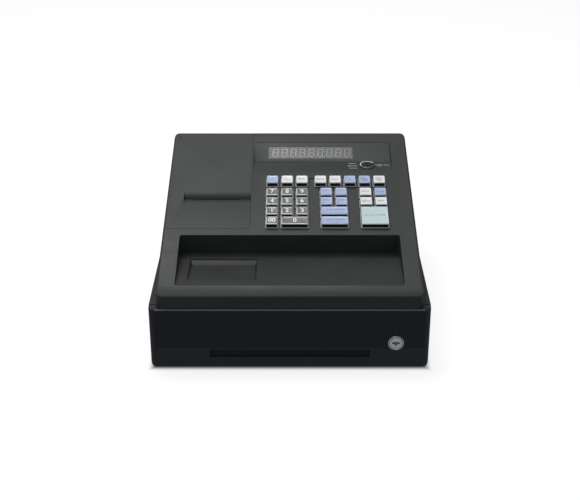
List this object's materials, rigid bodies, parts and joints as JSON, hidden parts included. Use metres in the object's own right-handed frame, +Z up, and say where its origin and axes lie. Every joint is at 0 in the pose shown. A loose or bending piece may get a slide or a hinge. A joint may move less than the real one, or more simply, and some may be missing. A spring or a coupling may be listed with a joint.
{
  "type": "cash register",
  "caption": "Compact cash register: sloping keyboard with display, mode switch and receipt printer on a note tray and a lockable sliding cash drawer.",
  "frame": {"origin": "middle of the footprint at floor level, under the rubber feet", "axes": "+Z up, the drawer opens towards -Y, +X to the operator's right"},
  "size_m": [0.33, 0.36, 0.1865],
  "materials": {
    "case_plastic": "fine spark-textured dark grey ABS, faint speckle, edges slightly polished by hands",
    "cabinet_plastic": "fine textured near-black ABS",
    "drawer_plastic": "moulded black plastic, light scuffs",
    "coin_plastic": "smooth moulded dark grey plastic, scratched cup floors",
    "clip_plastic": "moulded black plastic",
    "foot_rubber": "matt black rubber",
    "screw_steel": "zinc-plated",
    "sheet_steel": "plain bent sheet",
    "printer_metal": "turned metal",
    "ink_felt": "ink-soaked foam on a plastic core",
    "roller_rubber": "ground black rubber",
    "paper": "white till-roll paper",
    "window_tint": "grey tinted window",
    "circuit_board": "green solder mask",
    "switch_ring": "bright ring",
    "switch_black": "black moulded rotor",
    "dome_rubber": "grey silicone",
    "transformer_iron": "varnished laminations with a taped winding",
    "lock_chrome": "polished chrome",
    "lock_satin": "satin nickel",
    "key_white": "clear cap over a white insert",
    "key_blue": "clear cap over a pale blue insert",
    "key_grey": "clear cap over a grey insert with a white numeral",
    "key_teal": "clear cap over a pale green-grey insert"
  },
  "bodies": {
    "main": {"cabinet": "cabinet_plastic", "feet": "foot_rubber", "screws": "screw_steel", "lower_case": "cabinet_plastic", "top_case": "case_plastic", "printer_frame": "sheet_steel", "printer_motor": "printer_metal", "display_window": "window_tint", "display_board": "circuit_board", "mode_bezel": "switch_ring", "rubber_mat": "dome_rubber", "keyboard_board": "circuit_board", "main_board": "circuit_board", "transformer": "transformer_iron"},
    "drawer": {"drawer_box": "drawer_plastic", "drawer_front": "cabinet_plastic", "coin_case": "coin_plastic", "lock_case": "lock_chrome"},
    "lock_barrel": {"lock_barrel": "lock_satin"},
    "printer_cover": {"printer_cover": "case_plastic"},
    "mode_rotor": {"mode_rotor": "switch_black"},
    "drawer_latch": {"drawer_latch": "sheet_steel"},
    "type_drum": {"type_drum": "printer_metal"},
    "ink_roller": {"ink_roller": "ink_felt"},
    "feed_roller": {"feed_roller": "roller_rubber"},
    "paper_roll": {"paper_roll": "paper"},
    "bill_clip_1": {"bill_clip_1": "clip_plastic"},
    "bill_clip_2": {"bill_clip_2": "clip_plastic"},
    "bill_clip_3": {"bill_clip_3": "clip_plastic"},
    "bill_clip_4": {"bill_clip_4": "clip_plastic"},
    "key_top_1": {"key_top_1": "key_blue"},
    "key_top_2": {"key_top_2": "key_white"},
    "key_top_3": {"key_top_3": "key_white"},
    "key_top_4": {"key_top_4": "key_white"},
    "key_top_5": {"key_top_5": "key_white"},
    "key_top_6": {"key_top_6": "key_blue"},
    "key_top_7": {"key_top_7": "key_blue"},
    "key_top_8": {"key_top_8": "key_white"},
    "key_num_7": {"key_num_7": "key_grey"},
    "key_num_8": {"key_num_8": "key_grey"},
    "key_num_9": {"key_num_9": "key_grey"},
    "key_num_4": {"key_num_4": "key_grey"},
    "key_num_5": {"key_num_5": "key_grey"},
    "key_num_6": {"key_num_6": "key_grey"},
    "key_num_1": {"key_num_1": "key_grey"},
    "key_num_2": {"key_num_2": "key_grey"},
    "key_num_3": {"key_num_3": "key_grey"},
    "key_num_00": {"key_num_00": "key_grey"},
    "key_num_0": {"key_num_0": "key_grey"},
    "key_dept_1": {"key_dept_1": "key_blue"},
    "key_dept_2": {"key_dept_2": "key_blue"},
    "key_dept_3": {"key_dept_3": "key_blue"},
    "key_dept_4": {"key_dept_4": "key_blue"},
    "key_dept_5": {"key_dept_5": "key_blue"},
    "key_dept_6": {"key_dept_6": "key_blue"},
    "key_fn_1": {"key_fn_1": "key_white"},
    "key_fn_2": {"key_fn_2": "key_blue"},
    "key_fn_3": {"key_fn_3": "key_white"},
    "key_fn_4": {"key_fn_4": "key_white"},
    "key_total": {"key_total": "key_teal"}
  },
  "joints": [
    {"name": "drawer_slide", "type": "slide", "parent": "main", "child": "drawer", "axis": [0, -1, 0], "range_m": [0, 0.24]},
    {"name": "cover_hinge", "type": "hinge", "parent": "main", "child": "printer_cover", "pos_m": [-0.098, 0.1213, 0.17849], "axis": [-1, 0, 0], "range_deg": [0, 80]},
    {"name": "hold_down_1_lift", "type": "hinge", "parent": "drawer", "child": "bill_clip_1", "pos_m": [-0.117, 0.133, 0.053], "axis": [-1, 0, 0], "range_deg": [0, 34], "stiffness_Nm_per_rad": 0.06, "springref_deg": -34.38},
    {"name": "hold_down_2_lift", "type": "hinge", "parent": "drawer", "child": "bill_clip_2", "pos_m": [-0.039, 0.133, 0.053], "axis": [-1, 0, 0], "range_deg": [0, 34], "stiffness_Nm_per_rad": 0.06, "springref_deg": -34.38},
    {"name": "hold_down_3_lift", "type": "hinge", "parent": "drawer", "child": "bill_clip_3", "pos_m": [0.039, 0.133, 0.053], "axis": [-1, 0, 0], "range_deg": [0, 34], "stiffness_Nm_per_rad": 0.06, "springref_deg": -34.38},
    {"name": "hold_down_4_lift", "type": "hinge", "parent": "drawer", "child": "bill_clip_4", "pos_m": [0.117, 0.133, 0.053], "axis": [-1, 0, 0], "range_deg": [0, 34], "stiffness_Nm_per_rad": 0.06, "springref_deg": -34.38},
    {"name": "drawer_lock_turn", "type": "hinge", "parent": "drawer", "child": "lock_barrel", "pos_m": [0.125, -0.179, 0.0354], "axis": [0, 1, 0], "range_deg": [0, 90]},
    {"name": "control_switch_turn", "type": "hinge", "parent": "main", "child": "mode_rotor", "pos_m": [0.102, 0.05793, 0.16497], "axis": [0, -0.0698, 0.9976], "range_deg": [-60, 90]},
    {"name": "drawer_latch_turn", "type": "hinge", "parent": "main", "child": "drawer_latch", "pos_m": [0, 0.1695, 0.014], "axis": [-1, 0, 0], "range_deg": [0, 20]},
    {"name": "feed_roller_turn", "type": "hinge", "parent": "main", "child": "feed_roller", "pos_m": [-0.092, -0.006, 0.127], "axis": [1, 0, 0], "continuous": true},
    {"name": "ink_roller_turn", "type": "hinge", "parent": "main", "child": "ink_roller", "pos_m": [-0.092, 0.0186, 0.1066], "axis": [1, 0, 0], "continuous": true},
    {"name": "paper_roll_turn", "type": "hinge", "parent": "main", "child": "paper_roll", "pos_m": [-0.092, 0.068, 0.122], "axis": [1, 0, 0], "continuous": true},
    {"name": "type_drum_turn", "type": "hinge", "parent": "main", "child": "type_drum", "pos_m": [-0.092, 0.008, 0.118], "axis": [1, 0, 0], "continuous": true},
    {"name": "key_top_1_press", "type": "slide", "parent": "main", "child": "key_top_1", "axis": [0, 0.2756, -0.9613], "range_m": [0, 0.003], "stiffness_N_per_m": 120, "springref_m": -0.002},
    {"name": "key_top_2_press", "type": "slide", "parent": "main", "child": "key_top_2", "axis": [0, 0.2756, -0.9613], "range_m": [0, 0.003], "stiffness_N_per_m": 120, "springref_m": -0.002},
    {"name": "key_top_3_press", "type": "slide", "parent": "main", "child": "key_top_3", "axis": [0, 0.2756, -0.9613], "range_m": [0, 0.003], "stiffness_N_per_m": 120, "springref_m": -0.002},
    {"name": "key_top_4_press", "type": "slide", "parent": "main", "child": "key_top_4", "axis": [0, 0.2756, -0.9613], "range_m": [0, 0.003], "stiffness_N_per_m": 120, "springref_m": -0.002},
    {"name": "key_top_5_press", "type": "slide", "parent": "main", "child": "key_top_5", "axis": [0, 0.2756, -0.9613], "range_m": [0, 0.003], "stiffness_N_per_m": 120, "springref_m": -0.002},
    {"name": "key_top_6_press", "type": "slide", "parent": "main", "child": "key_top_6", "axis": [0, 0.2756, -0.9613], "range_m": [0, 0.003], "stiffness_N_per_m": 120, "springref_m": -0.002},
    {"name": "key_top_7_press", "type": "slide", "parent": "main", "child": "key_top_7", "axis": [0, 0.2756, -0.9613], "range_m": [0, 0.003], "stiffness_N_per_m": 120, "springref_m": -0.002},
    {"name": "key_top_8_press", "type": "slide", "parent": "main", "child": "key_top_8", "axis": [0, 0.2756, -0.9613], "range_m": [0, 0.003], "stiffness_N_per_m": 120, "springref_m": -0.002},
    {"name": "key_num_7_press", "type": "slide", "parent": "main", "child": "key_num_7", "axis": [0, 0.2756, -0.9613], "range_m": [0, 0.003], "stiffness_N_per_m": 120, "springref_m": -0.002},
    {"name": "key_num_8_press", "type": "slide", "parent": "main", "child": "key_num_8", "axis": [0, 0.2756, -0.9613], "range_m": [0, 0.003], "stiffness_N_per_m": 120, "springref_m": -0.002},
    {"name": "key_num_9_press", "type": "slide", "parent": "main", "child": "key_num_9", "axis": [0, 0.2756, -0.9613], "range_m": [0, 0.003], "stiffness_N_per_m": 120, "springref_m": -0.002},
    {"name": "key_num_4_press", "type": "slide", "parent": "main", "child": "key_num_4", "axis": [0, 0.2756, -0.9613], "range_m": [0, 0.003], "stiffness_N_per_m": 120, "springref_m": -0.002},
    {"name": "key_num_5_press", "type": "slide", "parent": "main", "child": "key_num_5", "axis": [0, 0.2756, -0.9613], "range_m": [0, 0.003], "stiffness_N_per_m": 120, "springref_m": -0.002},
    {"name": "key_num_6_press", "type": "slide", "parent": "main", "child": "key_num_6", "axis": [0, 0.2756, -0.9613], "range_m": [0, 0.003], "stiffness_N_per_m": 120, "springref_m": -0.002},
    {"name": "key_num_1_press", "type": "slide", "parent": "main", "child": "key_num_1", "axis": [0, 0.2756, -0.9613], "range_m": [0, 0.003], "stiffness_N_per_m": 120, "springref_m": -0.002},
    {"name": "key_num_2_press", "type": "slide", "parent": "main", "child": "key_num_2", "axis": [0, 0.2756, -0.9613], "range_m": [0, 0.003], "stiffness_N_per_m": 120, "springref_m": -0.002},
    {"name": "key_num_3_press", "type": "slide", "parent": "main", "child": "key_num_3", "axis": [0, 0.2756, -0.9613], "range_m": [0, 0.003], "stiffness_N_per_m": 120, "springref_m": -0.002},
    {"name": "key_num_00_press", "type": "slide", "parent": "main", "child": "key_num_00", "axis": [0, 0.2756, -0.9613], "range_m": [0, 0.003], "stiffness_N_per_m": 120, "springref_m": -0.002},
    {"name": "key_num_0_press", "type": "slide", "parent": "main", "child": "key_num_0", "axis": [0, 0.2756, -0.9613], "range_m": [0, 0.003], "stiffness_N_per_m": 120, "springref_m": -0.002},
    {"name": "key_dept_1_press", "type": "slide", "parent": "main", "child": "key_dept_1", "axis": [0, 0.2756, -0.9613], "range_m": [0, 0.003], "stiffness_N_per_m": 120, "springref_m": -0.002},
    {"name": "key_dept_2_press", "type": "slide", "parent": "main", "child": "key_dept_2", "axis": [0, 0.2756, -0.9613], "range_m": [0, 0.003], "stiffness_N_per_m": 120, "springref_m": -0.002},
    {"name": "key_dept_3_press", "type": "slide", "parent": "main", "child": "key_dept_3", "axis": [0, 0.2756, -0.9613], "range_m": [0, 0.003], "stiffness_N_per_m": 120, "springref_m": -0.002},
    {"name": "key_dept_4_press", "type": "slide", "parent": "main", "child": "key_dept_4", "axis": [0, 0.2756, -0.9613], "range_m": [0, 0.003], "stiffness_N_per_m": 120, "springref_m": -0.002},
    {"name": "key_dept_5_press", "type": "slide", "parent": "main", "child": "key_dept_5", "axis": [0, 0.2756, -0.9613], "range_m": [0, 0.003], "stiffness_N_per_m": 120, "springref_m": -0.002},
    {"name": "key_dept_6_press", "type": "slide", "parent": "main", "child": "key_dept_6", "axis": [0, 0.2756, -0.9613], "range_m": [0, 0.003], "stiffness_N_per_m": 120, "springref_m": -0.002},
    {"name": "key_fn_1_press", "type": "slide", "parent": "main", "child": "key_fn_1", "axis": [0, 0.2756, -0.9613], "range_m": [0, 0.003], "stiffness_N_per_m": 120, "springref_m": -0.002},
    {"name": "key_fn_2_press", "type": "slide", "parent": "main", "child": "key_fn_2", "axis": [0, 0.2756, -0.9613], "range_m": [0, 0.003], "stiffness_N_per_m": 120, "springref_m": -0.002},
    {"name": "key_fn_3_press", "type": "slide", "parent": "main", "child": "key_fn_3", "axis": [0, 0.2756, -0.9613], "range_m": [0, 0.003], "stiffness_N_per_m": 120, "springref_m": -0.002},
    {"name": "key_fn_4_press", "type": "slide", "parent": "main", "child": "key_fn_4", "axis": [0, 0.2756, -0.9613], "range_m": [0, 0.003], "stiffness_N_per_m": 120, "springref_m": -0.002},
    {"name": "key_total_press", "type": "slide", "parent": "main", "child": "key_total", "axis": [0, 0.2756, -0.9613], "range_m": [0, 0.003], "stiffness_N_per_m": 120, "springref_m": -0.002}
  ],
  "couplings": [
    {"joint": "ink_roller_turn", "follows": "type_drum_turn", "ratio": -1.62},
    {"joint": "feed_roller_turn", "follows": "paper_roll_turn", "ratio": 4.848}
  ]
}
